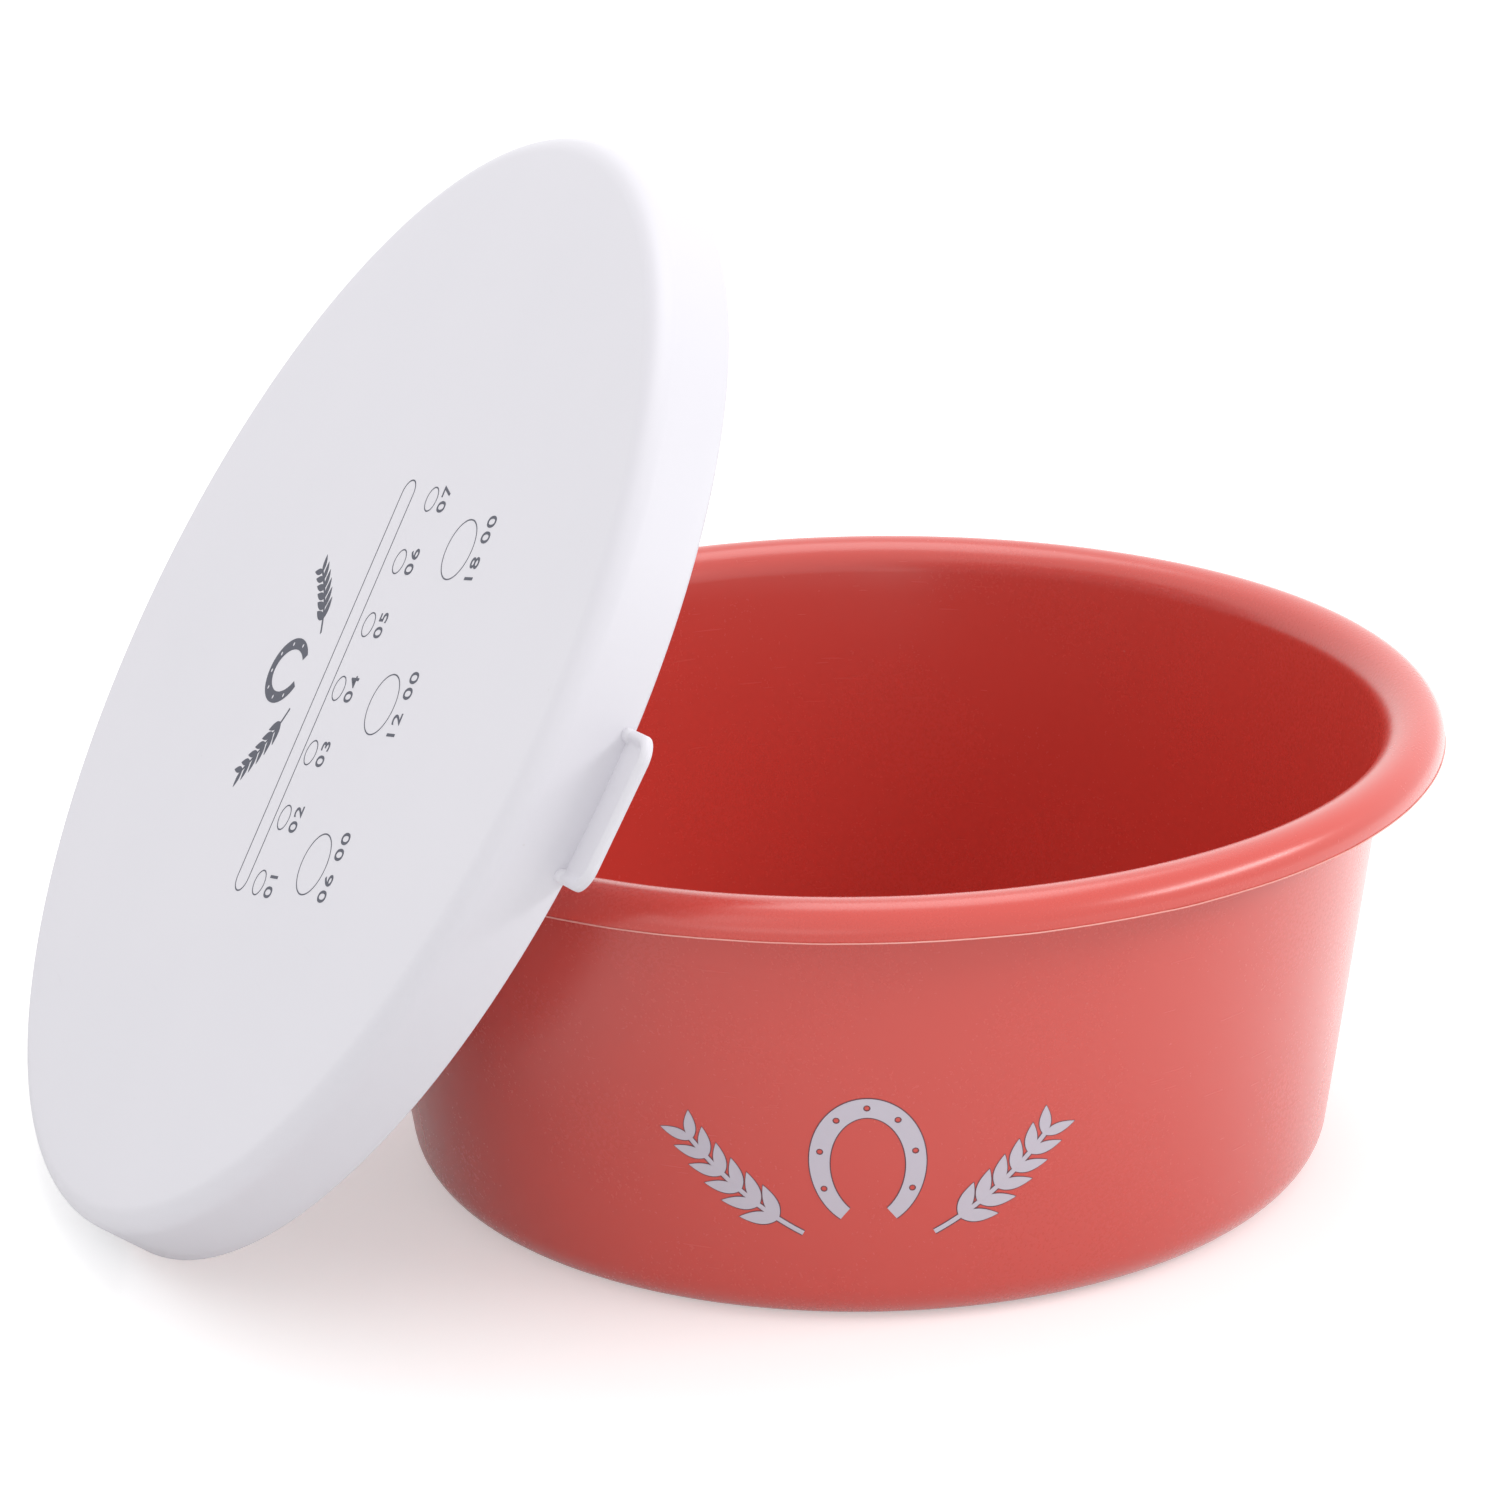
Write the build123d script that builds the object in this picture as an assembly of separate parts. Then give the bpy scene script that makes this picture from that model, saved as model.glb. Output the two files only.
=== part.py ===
from build123d import *
from math import cos, sin, radians
import os

# A round feed bowl of thin moulded plastic with a hollow rolled rim, and its press-fit lid.
# The lid leans on the outside of the bowl: its lip stands on the ground beside the bowl and
# the inner face of its plate rests against the rim. Origin: centre of the bowl's foot, on the
# ground. +Z is up, and the lid leans on the -X side.

# The bowl
rim_radius = 160.0        # outside of the rolled rim
bowl_height = 129.5
wall = 2.0                # side wall, and the skin of the roll
wall_draft = 8.2          # slope of the side, in degrees from upright
roll_radius = 7.7         # outer half of the roll, seen in section
inner_round = 9.6         # inner half of the roll, where it runs down into the side
lip_drop = 9.4            # from the top of the rim to the lower edge of the roll
floor = 2.4
foot_groove = 1.2         # depth of the groove that parts the foot ring from the flat underside
foot_width = 9.0          # flat ring the bowl stands on
groove_width = 5.0        # at the ground
groove_slope = 1.5        # width of each sloping side of the groove
base_corner = 13.0        # outer round between side and foot
inner_corner = 14.0       # inner round between side and floor

# The lid
lid_fit = 0.5             # clearance between the rim and the inside of the skirt
plate = 2.2
skirt = 1.7
skirt_draft = 3.5         # slope of the skirt, in degrees
skirt_depth = 22.0        # from the top of the plate to the lip
lid_corner = 6.5          # outer round between plate and skirt
lid_inner_corner = 4.8
snap_bite = 0.5           # how far the snap beads reach in under the rim
bead_radius = 1.2
bead_gap = 0.6            # between the rim's lower edge and the beads, with the lid on
bead_count = 8
bead_sweep = 16.0         # degrees of the skirt that each bead covers

# The pull tab on the lid's lip
tab_width = 42.0
tab_reach = 14.3
tab_plate = 1.3
tab_lift = 0.3            # underside of the tab above the lip
tab_corner = 7.0
tab_rib = 1.4             # radius of the raised rib that follows the tab's edge
rib_sink = 0.3            # the rib's middle line lies this far below the tab's top face
rib_inset = 1.6           # from the tab's edge to the middle of the rib
bulb_radius = 2.3         # rounded end of the rib against the skirt

# How the lid leans
lean = 58.0               # tilt of the lid from lying flat, in degrees
lean_gap = 0.3            # between the lid's plate and the rim
ground_gap = 0.1          # between the lip and the ground
side_shift = 25.0         # the lid's centre lies this far to +Y of the bowl's
tab_turn = -81.0          # place of the tab round the lid, in degrees from its upper end


def bowl_section():
    """Half section of the bowl, from the axis out."""
    out_c, out_s = cos(radians(wall_draft)), sin(radians(wall_draft))
    roll_x = rim_radius - roll_radius
    roll_z = bowl_height - roll_radius
    inner_z = bowl_height - inner_round
    lip_z = bowl_height - lip_drop
    floor_z = foot_groove + floor
    hollow = inner_round - wall
    top_x, top_z = roll_x - hollow * out_c, inner_z + hollow * out_s
    corner_x = top_x + ((base_corner - top_z) * out_s - base_corner) / out_c
    inside_x = top_x - wall * out_c
    inside_z = top_z + wall * out_s
    fillet_z = floor_z + inner_corner
    fillet_x = inside_x + ((fillet_z - inside_z) * out_s - inner_corner) / out_c
    ring_x = corner_x - foot_width
    groove_x = ring_x - groove_width
    turn = 90 - wall_draft
    inner_end = (fillet_x + inner_corner * out_c, fillet_z - inner_corner * out_s)
    outer_end = (corner_x + base_corner * out_c, base_corner - base_corner * out_s)
    edges = [
        Line((0, floor_z), (fillet_x, floor_z)),
        CenterArc((fillet_x, fillet_z), inner_corner, 270, turn),
        Line(inner_end, (inside_x, inside_z)),
        CenterArc((roll_x, inner_z), inner_round, 180 - wall_draft, -turn),
        CenterArc((roll_x, roll_z), roll_radius, 90, -90),
        Line((rim_radius, roll_z), (rim_radius, lip_z + wall / 2)),
        CenterArc((rim_radius - wall / 2, lip_z + wall / 2), wall / 2, 0, -180),
        Line((rim_radius - wall, lip_z + wall / 2), (rim_radius - wall, roll_z)),
        CenterArc((roll_x, roll_z), roll_radius - wall, 0, 90),
        CenterArc((roll_x, inner_z), hollow, 90, turn),
        Line((top_x, top_z), outer_end),
        CenterArc((corner_x, base_corner), base_corner, -wall_draft, -turn),
        Line((corner_x, 0), (ring_x, 0)),
        Line((ring_x, 0), (ring_x - groove_slope, foot_groove)),
        Line((ring_x - groove_slope, foot_groove), (groove_x + groove_slope, foot_groove)),
        Line((groove_x + groove_slope, foot_groove), (groove_x, 0)),
        Line((groove_x, 0), (0, 0)),
        Line((0, 0), (0, floor_z)),
    ]
    return Plane.XZ * make_face(edges)


def make_bowl():
    return revolve(bowl_section(), Axis.Z)


# Outer radius of the lid at its lip: the skirt clears the widest line of the rim when it is on
draft_c, draft_s = cos(radians(skirt_draft)), sin(radians(skirt_draft))
below_rim = skirt_depth - plate - roll_radius
lip_radius = rim_radius + lid_fit + (skirt + below_rim * draft_s) / draft_c


def offset_from_skirt(depth_left, inward):
    """Radius of the line that runs this far inside the skirt's outer face, at a height over the lip."""
    return lip_radius - (inward + depth_left * draft_s) / draft_c


def lid_section():
    """Half section of the lid in its own frame: plate's top face at height zero, hollow below."""
    outer_x = offset_from_skirt(skirt_depth - lid_corner, lid_corner)
    inner_round_z = plate + lid_inner_corner
    inner_x = offset_from_skirt(skirt_depth - inner_round_z, skirt + lid_inner_corner)
    half = skirt / 2
    end_x = offset_from_skirt(half, half)
    end_z = half - skirt_depth
    turn = 90 - skirt_draft
    outer_end = (outer_x + lid_corner * draft_c, lid_corner * draft_s - lid_corner)
    inner_end = (inner_x + lid_inner_corner * draft_c, lid_inner_corner * draft_s - inner_round_z)
    edges = [
        Line((0, 0), (outer_x, 0)),
        CenterArc((outer_x, -lid_corner), lid_corner, 90, -turn),
        Line(outer_end, (end_x + half * draft_c, end_z + half * draft_s)),
        CenterArc((end_x, end_z), half, skirt_draft, -180),
        Line((end_x - half * draft_c, end_z - half * draft_s), inner_end),
        CenterArc((inner_x, -inner_round_z), lid_inner_corner, skirt_draft, turn),
        Line((inner_x, -plate), (0, -plate)),
        Line((0, -plate), (0, 0)),
    ]
    return Plane.XZ * make_face(edges)


def make_snap_beads():
    """Short round-ended beads inside the skirt that catch under the rim's lower edge."""
    radius = rim_radius - snap_bite + bead_radius
    height = -(plate + lip_drop + bead_gap + bead_radius)
    bar = revolve(Plane.XZ * Pos(radius, height) * Circle(bead_radius), Axis.Z, bead_sweep)
    end = Pos(radius, 0, height) * Sphere(bead_radius)
    bead = bar + end + Rot(0, 0, bead_sweep) * end
    step = 360 / bead_count
    return [Rot(0, 0, (number + 0.5) * step - bead_sweep / 2) * bead for number in range(bead_count)]


def make_tab():
    """Flat tab at the lip with a raised rib that follows its three free sides."""
    base_z = tab_lift - skirt_depth
    far_x = lip_radius + tab_reach
    back_x = lip_radius - tab_reach
    outline = Pos((far_x + back_x) / 2, 0) * Rectangle(far_x - back_x, tab_width)
    outline = fillet(outline.vertices().group_by(Axis.X)[-1], tab_corner)
    panel = Pos(0, 0, base_z) * extrude(outline, tab_plate)
    side = tab_width / 2 - rib_inset
    front = far_x - rib_inset
    start_x = (lip_radius ** 2 - side ** 2) ** 0.5
    rib_z = base_z + tab_plate - rib_sink
    path = FilletPolyline(
        (start_x, -side, rib_z), (front, -side, rib_z), (front, side, rib_z), (start_x, side, rib_z),
        radius=tab_corner - rib_inset,
    )
    rib = sweep(Plane(origin=path @ 0, z_dir=path % 0) * Circle(tab_rib), path=path)
    bulbs = [Pos(start_x, y, rib_z) * Sphere(bulb_radius) for y in (-side, side)]
    core = Cylinder(lip_radius - skirt / 2, 4 * skirt_depth)
    floor_cut = Pos(lip_radius, 0, base_z - bulb_radius) * Box(4 * tab_reach, 2 * tab_width, 2 * bulb_radius)
    return (panel + rib + bulbs) - core - floor_cut


def lean_place():
    """Where the lid stands: lip on the ground, plate against the rim."""
    lean_s, lean_c = sin(radians(lean)), cos(radians(lean))
    half = skirt / 2
    end_x = offset_from_skirt(half, half)
    centre_z = ground_gap + half + (skirt_depth - half) * lean_c + end_x * lean_s
    roll_x = rim_radius - roll_radius
    roll_z = bowl_height - roll_radius
    reach = roll_x * lean_s + roll_z * lean_c + roll_radius + lean_gap + plate
    centre_x = (centre_z * lean_c - reach) / lean_s
    return Location((centre_x, side_shift, centre_z), (0, -lean, 0))


def make_lid():
    lid = revolve(lid_section(), Axis.Z) + make_snap_beads() + make_tab()
    return lean_place() * Rot(0, 0, tab_turn) * lid


os.makedirs("parts", exist_ok=True)
export_step(make_bowl(), "parts/bowl.step")
export_step(make_lid(), "parts/lid.step")
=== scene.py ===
import bpy
import bmesh
from math import atan2, cos, hypot, pi, radians, sin, sqrt
from mathutils import Matrix, Vector


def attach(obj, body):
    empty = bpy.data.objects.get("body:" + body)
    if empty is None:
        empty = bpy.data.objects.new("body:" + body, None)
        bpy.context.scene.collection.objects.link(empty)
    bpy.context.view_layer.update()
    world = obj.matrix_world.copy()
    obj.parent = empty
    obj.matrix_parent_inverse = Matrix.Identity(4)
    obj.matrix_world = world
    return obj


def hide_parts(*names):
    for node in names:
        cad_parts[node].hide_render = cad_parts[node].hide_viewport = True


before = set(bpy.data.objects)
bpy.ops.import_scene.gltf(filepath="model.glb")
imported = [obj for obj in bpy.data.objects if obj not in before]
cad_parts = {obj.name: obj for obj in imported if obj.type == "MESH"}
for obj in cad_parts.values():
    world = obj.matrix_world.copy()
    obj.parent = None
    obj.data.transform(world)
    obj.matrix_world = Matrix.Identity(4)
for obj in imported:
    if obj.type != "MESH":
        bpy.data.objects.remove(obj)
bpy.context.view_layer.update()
print("frame loaded")

mm = 0.001


# Helpers for pieces, angles and node trees

def addObject(name, data):
    piece = bpy.data.objects.new(name, data)
    bpy.context.scene.collection.objects.link(piece)
    return piece


def slopeOf(angle):
    # cosine and sine of an angle in degrees
    return cos(radians(angle)), sin(radians(angle))


def fill(node, values):
    # a value is a constant for the socket, or another node's output that is linked to it
    for label, value in values.items():
        if hasattr(value, "links"):
            node.id_data.links.new(value, node.inputs[label])
        else:
            node.inputs[label].default_value = value


def addNode(tree, kind, values=None, **settings):
    node = tree.nodes.new(kind)
    for label, value in settings.items():
        setattr(node, label, value)
    fill(node, values or {})
    return node


def addMath(tree, operation, first, second=None, third=None, clamp=False):
    values = {slot: value for slot, value in enumerate((first, second, third)) if value is not None}
    return addNode(tree, "ShaderNodeMath", values, operation=operation, use_clamp=clamp).outputs[0]


def newTree(name, kind, inputs, outputs):
    # a node group with its named sockets and its two end nodes
    tree = bpy.data.node_groups.new(name, kind + "NodeTree")
    for label, socketKind, value in inputs:
        socket = tree.interface.new_socket(label, in_out="INPUT", socket_type="NodeSocket" + socketKind)
        if value is not None:
            socket.default_value = value
    for label, socketKind in outputs:
        tree.interface.new_socket(label, in_out="OUTPUT", socket_type="NodeSocket" + socketKind)
    return tree, tree.nodes.new("NodeGroupInput"), tree.nodes.new("NodeGroupOutput")


# Camera and light

cameraSetup = {
    "place": (-467.1, -1359.7, 625.0),   # mm
    "aim": (-18.8, 44.3, 103.0),         # mm
    "roll": -1.36,                       # degrees
    "lens": 132.0,                       # mm
    "sensor": 36.0,                      # mm, its width
    "farthest": 20.0,                    # metres
}

studio = {
    "worldLight": 0.88,
    "worldGlow": 1.32,    # the world as it shows in glossy plastic
    "floorHalf": 4.0,     # metres from the middle to each edge
    "floorTone": 0.78,
    "floorLift": 0.42,    # added where the camera sees the floor, so that it comes out white
    "floorGlow": (0.00, 0.80),       # added where the floor shows in glossy plastic, on the left and right
    "floorGlowSpan": (-350, 450),    # mm
    "lamps": {            # place and aim in mm, width and height in mm, watts
        "windowLeft": ((-1500, -900, 1500), (0, 0, 60), (1100, 1100), 2.0),
        "stripRight": ((1410, -951, 1130), (0, -100, 120), (1350, 240), 12.0),
        "fillLeft": ((-1030, -1470, 260), (-100, -100, 80), (900, 500), 1.0),
        "overhead": ((200, 500, 1900), (0, 0, 0), (1200, 1200), 10.0),
    },
}


def aimMatrix(place, aim, roll=0.0):
    ahead = (Vector(aim) - Vector(place)).normalized()
    turn = ahead.to_track_quat("-Z", "Y").to_matrix()
    return turn @ Matrix.Rotation(radians(roll), 3, "Z")


def makeCamera():
    lensData = bpy.data.cameras.new("photoCamera")
    lensData.lens = cameraSetup["lens"]
    lensData.sensor_width = cameraSetup["sensor"]
    lensData.sensor_fit = "HORIZONTAL"
    lensData.clip_end = cameraSetup["farthest"]
    camera = addObject("photoCamera", lensData)
    turn = aimMatrix(cameraSetup["place"], cameraSetup["aim"], cameraSetup["roll"])
    camera.matrix_world = Matrix.Translation(Vector(cameraSetup["place"]) * mm) @ turn.to_4x4()
    bpy.context.scene.camera = camera


def makeLamps():
    for name, (place, aim, size, watts) in studio["lamps"].items():
        lampData = bpy.data.lights.new(name, "AREA")
        lampData.shape = "RECTANGLE"
        lampData.size = size[0] * mm
        lampData.size_y = size[1] * mm
        lampData.energy = watts
        lamp = addObject(name, lampData)
        lamp.matrix_world = Matrix.Translation(Vector(place) * mm) @ aimMatrix(place, aim).to_4x4()


def makeWorld():
    world = bpy.data.worlds.new("studioWorld")
    bpy.context.scene.world = world
    world.use_nodes = True
    tree = world.node_tree
    tree.nodes.clear()
    rays = addNode(tree, "ShaderNodeLightPath").outputs
    extra = studio["worldGlow"] - studio["worldLight"]
    strength = addMath(tree, "MULTIPLY_ADD", rays["Is Glossy Ray"], extra, studio["worldLight"])
    lit = addNode(tree, "ShaderNodeBackground", {"Color": (1, 1, 1, 1), "Strength": strength})
    seen = addNode(tree, "ShaderNodeBackground", {"Color": (1, 1, 1, 1)})
    mix = addNode(tree, "ShaderNodeMixShader", {
        "Fac": rays["Is Camera Ray"], 1: lit.outputs["Background"], 2: seen.outputs["Background"],
    })
    addNode(tree, "ShaderNodeOutputWorld", {"Surface": mix.outputs["Shader"]})


def makeFloor():
    mesh = bpy.data.meshes.new("floor")
    half = studio["floorHalf"]
    corners = [(-half, -half, 0), (half, -half, 0), (half, half, 0), (-half, half, 0)]
    mesh.from_pydata(corners, [], [(0, 1, 2, 3)])
    floor = addObject("floor", mesh)
    material = bpy.data.materials.new("whitePaper")
    material.use_nodes = True
    tree = material.node_tree
    tree.nodes.clear()
    rays = addNode(tree, "ShaderNodeLightPath").outputs
    place = addNode(tree, "ShaderNodeTexCoord")
    split = addNode(tree, "ShaderNodeSeparateXYZ", {0: place.outputs["Object"]})
    (left, right), (dim, bright) = studio["floorGlowSpan"], studio["floorGlow"]
    ramp = addNode(tree, "ShaderNodeMapRange", {
        "Value": split.outputs["X"], "From Min": left * mm, "From Max": right * mm,
        "To Min": dim, "To Max": bright,
    })
    glow = addMath(tree, "MULTIPLY", rays["Is Glossy Ray"], ramp.outputs["Result"])
    strength = addMath(tree, "MULTIPLY_ADD", rays["Is Camera Ray"], studio["floorLift"], glow)
    tone = studio["floorTone"]
    paper = addNode(tree, "ShaderNodeBsdfDiffuse", {"Color": (tone, tone, tone, 1)})
    lift = addNode(tree, "ShaderNodeEmission", {"Strength": strength})
    add = addNode(tree, "ShaderNodeAddShader", {0: paper.outputs["BSDF"], 1: lift.outputs["Emission"]})
    addNode(tree, "ShaderNodeOutputMaterial", {"Surface": add.outputs["Shader"]})
    mesh.materials.append(material)


bpy.context.scene.view_settings.view_transform = "Standard"
makeCamera()
makeLamps()
makeWorld()
makeFloor()
print("camera, lamps and floor ready")


# The shader group that all finishes share

skinPattern = {           # scales in turns per metre; a step is the soft edge between its two values
    "cloudScale": 9.0, "cloudDetail": 3.0, "cloudStep": (0.35, 0.70), "cellScale": 170.0,
    "speckStep": (0.030, 0.075), "rareStep": (0.955, 0.965), "grainScale": 900.0, "grainRough": 0.6,
    "waveScale": 26.0, "waveWeight": 6.0,
    "hairScale": (60.0, 60.0, 900.0), "hairTurn": (0.5, 0.9, 0.3), "hairStep": (0.73, 0.77),
    "hairPatch": (0.50, 0.62), "hairRough": 0.12, "hairDepth": -1.2, "bumpStrength": 0.35, "coatRough": 0.24,
}


def addNoise(tree, vector, scale, detail=2.0, rough=0.5):
    values = {"Vector": vector, "Scale": scale, "Detail": detail, "Roughness": rough}
    return addNode(tree, "ShaderNodeTexNoise", values).outputs["Fac"]


def addRange(tree, value, low, high, newLow=0.0, newHigh=1.0):
    values = {"Value": value, "From Min": low, "From Max": high, "To Min": newLow, "To Max": newHigh}
    return addNode(tree, "ShaderNodeMapRange", values, interpolation_type="SMOOTHSTEP").outputs["Result"]


def addMix(tree, factor, first, second):
    return addNode(tree, "ShaderNodeMix", {0: factor, 6: first, 7: second}, data_type="RGBA").outputs[2]


def makeMouldedSkin(p):
    # fine grain, slow cloudiness, dust specks and hair scratches of satin moulded plastic
    group, start, end = newTree("mouldedSkin", "Shader", [
        ("Vector", "Vector", None),
        ("Base", "Color", (0.5, 0.5, 0.5, 1)),
        ("Cloud Tint", "Color", (0.5, 0.5, 0.5, 1)),
        ("Cloud Amount", "Float", 0.2),
        ("Speck Tint", "Color", (0.9, 0.9, 0.9, 1)),
        ("Speck Amount", "Float", 0.5),
        ("Roughness", "Float", 0.4),
        ("Roughness Spread", "Float", 0.08),
    ], [("Color", "Color"), ("Roughness", "Float"), ("Height", "Float")])
    given = start.outputs
    vector = given["Vector"]
    cloud = addNoise(group, vector, p["cloudScale"], p["cloudDetail"])
    cloudMask = addMath(group, "MULTIPLY", addRange(group, cloud, *p["cloudStep"]), given["Cloud Amount"])
    clouded = addMix(group, cloudMask, given["Base"], given["Cloud Tint"])
    cells = addNode(group, "ShaderNodeTexVoronoi", {"Vector": vector, "Scale": p["cellScale"]})
    dot = addRange(group, cells.outputs["Distance"], *p["speckStep"], 1.0, 0.0)
    split = addNode(group, "ShaderNodeSeparateColor", {"Color": cells.outputs["Color"]})
    rare = addRange(group, split.outputs["Red"], *p["rareStep"])
    speck = addMath(group, "MULTIPLY", addMath(group, "MULTIPLY", dot, rare), given["Speck Amount"])
    speckled = addMix(group, speck, clouded, given["Speck Tint"])
    grain = addNoise(group, vector, p["grainScale"], rough=p["grainRough"])
    wave = addNoise(group, vector, p["waveScale"])
    stretch = addNode(group, "ShaderNodeMapping", {
        "Vector": vector, "Scale": p["hairScale"], "Rotation": p["hairTurn"],
    })
    hair = addNoise(group, stretch.outputs["Vector"], 1.0, 1.0)
    patch = addRange(group, cloud, *p["hairPatch"])
    scratch = addMath(group, "MULTIPLY", addRange(group, hair, *p["hairStep"]), patch)
    uneven = addMath(group, "SUBTRACT", addMath(group, "ADD", grain, wave), 1.0)
    rough = addMath(group, "MULTIPLY_ADD", uneven, given["Roughness Spread"], given["Roughness"])
    rough = addMath(group, "MULTIPLY_ADD", scratch, p["hairRough"], rough, clamp=True)
    height = addMath(group, "MULTIPLY_ADD", wave, p["waveWeight"], grain)
    height = addMath(group, "MULTIPLY_ADD", scratch, p["hairDepth"], height)
    fill(end, {"Color": speckled, "Roughness": rough, "Height": height})
    return group


mouldedSkin = makeMouldedSkin(skinPattern)

finishes = {
    "coralPlastic": {
        "base": (0.612, 0.062, 0.046), "cloud": (0.590, 0.056, 0.041), "cloudAmount": 0.35,
        "speck": (0.80, 0.42, 0.38), "speckAmount": 0.22, "roughness": 0.27, "spread": 0.03,
        "bump": 0.0035, "ior": 1.50, "specular": 0.5, "coat": 0.45,
    },
    "chalkPlastic": {
        "base": (0.705, 0.690, 0.738), "cloud": (0.680, 0.670, 0.720), "cloudAmount": 0.35,
        "speck": (0.55, 0.52, 0.52), "speckAmount": 0.30, "roughness": 0.42, "spread": 0.05,
        "bump": 0.005, "ior": 1.46, "specular": 0.4, "coat": 0.0,
    },
    "slateInk": {
        "base": (0.058, 0.062, 0.090), "cloud": (0.080, 0.085, 0.115), "cloudAmount": 0.5,
        "speck": (0.30, 0.30, 0.33), "speckAmount": 0.3, "roughness": 0.50, "spread": 0.05,
        "bump": 0.006, "ior": 1.45, "specular": 0.4, "coat": 0.0,
    },
    "silverInk": {
        "base": (0.575, 0.545, 0.620), "cloud": (0.520, 0.495, 0.570), "cloudAmount": 0.5,
        "speck": (0.36, 0.33, 0.38), "speckAmount": 0.6, "roughness": 0.45, "spread": 0.10,
        "bump": 0.020, "ior": 1.45, "specular": 0.5, "coat": 0.0,
    },
    # finish of the mould line: the ridge is real, and its pale colour is a painted highlight along the lip's
    # lower edge
    "seamWithPaintedHighlight": {
        "base": (0.86, 0.42, 0.37), "cloud": (0.74, 0.22, 0.18), "cloudAmount": 0.6,
        "speck": (0.90, 0.60, 0.55), "speckAmount": 0.2, "roughness": 0.30, "spread": 0.05,
        "bump": 0.006, "ior": 1.50, "specular": 0.6, "coat": 0.0,
    },
    "deepOutline": {
        "base": (0.120, 0.045, 0.060), "cloud": (0.150, 0.060, 0.075), "cloudAmount": 0.4,
        "speck": (0.30, 0.20, 0.22), "speckAmount": 0.3, "roughness": 0.50, "spread": 0.05,
        "bump": 0.006, "ior": 1.45, "specular": 0.4, "coat": 0.0,
    },
}


def makeFinish(name, look):
    material = bpy.data.materials.new(name)
    material.use_nodes = True
    tree = material.node_tree
    place = addNode(tree, "ShaderNodeTexCoord")
    skin = addNode(tree, "ShaderNodeGroup", {
        "Vector": place.outputs["Object"], "Base": (*look["base"], 1), "Cloud Tint": (*look["cloud"], 1),
        "Cloud Amount": look["cloudAmount"], "Speck Tint": (*look["speck"], 1),
        "Speck Amount": look["speckAmount"], "Roughness": look["roughness"],
        "Roughness Spread": look["spread"],
    }, node_tree=mouldedSkin)
    bump = addNode(tree, "ShaderNodeBump", {
        "Strength": skinPattern["bumpStrength"], "Distance": look["bump"] * mm,
        "Height": skin.outputs["Height"],
    })
    fill(tree.nodes["Principled BSDF"], {
        "Base Color": skin.outputs["Color"], "Roughness": skin.outputs["Roughness"],
        "Normal": bump.outputs["Normal"], "IOR": look["ior"], "Specular IOR Level": look["specular"],
        "Coat Weight": look["coat"], "Coat Roughness": skinPattern["coatRough"],
    })
    material.diffuse_color = (*look["base"], 1)
    return material


materials = {name: makeFinish(name, look) for name, look in finishes.items()}
print("finishes ready")


# Helpers for meshes and Geometry Nodes

sharpEdge = 38            # degrees past which an edge of a turned piece stays sharp
weldGap = 0.000001        # metres, as are the two below
inkWeldGap = 0.0000001
seamGap = 0.000002
lineSides = 8             # of a line that is given a round section


def bakeNodes(piece, tree, values):
    # runs the tree once and keeps its result as the piece's own plain mesh
    modifier = piece.modifiers.new("make", "NODES")
    modifier.node_group = tree
    for item in tree.interface.items_tree:
        if item.item_type == "SOCKET" and item.in_out == "INPUT" and item.name in values:
            modifier[item.identifier] = values[item.name]
    mesh = bpy.data.meshes.new_from_object(piece.evaluated_get(bpy.context.evaluated_depsgraph_get()))
    piece.modifiers.clear()
    mesh.name = piece.name
    piece.data = mesh


def cleanMesh(mesh, smooth=True, sharp=None, merge=weldGap):
    work = bmesh.new()
    work.from_mesh(mesh)
    bmesh.ops.remove_doubles(work, verts=work.verts, dist=merge)
    bmesh.ops.recalc_face_normals(work, faces=work.faces)
    for face in work.faces:
        face.smooth = smooth
    if sharp is not None:
        for edge in work.edges:
            if len(edge.link_faces) == 2 and edge.calc_face_angle() > radians(sharp):
                edge.smooth = False
    work.to_mesh(mesh)
    work.free()


def arcPoints(centre, radius, start, sweep, steps):
    # start and sweep in degrees, turning from +r towards +z
    return [
        (centre[0] + radius * cos(radians(start + sweep * i / steps)),
         centre[1] + radius * sin(radians(start + sweep * i / steps)))
        for i in range(steps + 1)
    ]


def linePoints(start, end, steps):
    # points between start and end, both left out
    return [
        (start[0] + (end[0] - start[0]) * i / steps, start[1] + (end[1] - start[1]) * i / steps)
        for i in range(1, steps)
    ]


def newMaker(name, inputs):
    # a Geometry Nodes tree that takes these inputs and a finish, and gives a mesh
    return newTree(name, "Geometry", [*inputs, ("Finish", "Material", None)], [("Mesh", "Geometry")])


def endMaker(tree, start, end, made):
    # every tree ends in real meshes that carry the finish
    real = addNode(tree, "GeometryNodeRealizeInstances", {"Geometry": made})
    paint = addNode(tree, "GeometryNodeSetMaterial", {
        "Geometry": real.outputs["Geometry"], "Material": start.outputs["Finish"],
    })
    fill(end, {"Mesh": paint.outputs["Geometry"]})
    return tree


def sweepLine(tree, curve, width, capped=False):
    # gives a curve the thickness of a round line
    half = addMath(tree, "MULTIPLY", width, 0.5)
    profile = addNode(tree, "GeometryNodeCurvePrimitiveCircle", {"Resolution": lineSides, "Radius": half})
    return addNode(tree, "GeometryNodeCurveToMesh", {
        "Curve": curve, "Profile Curve": profile.outputs["Curve"], "Fill Caps": capped,
    }).outputs["Mesh"]


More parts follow.
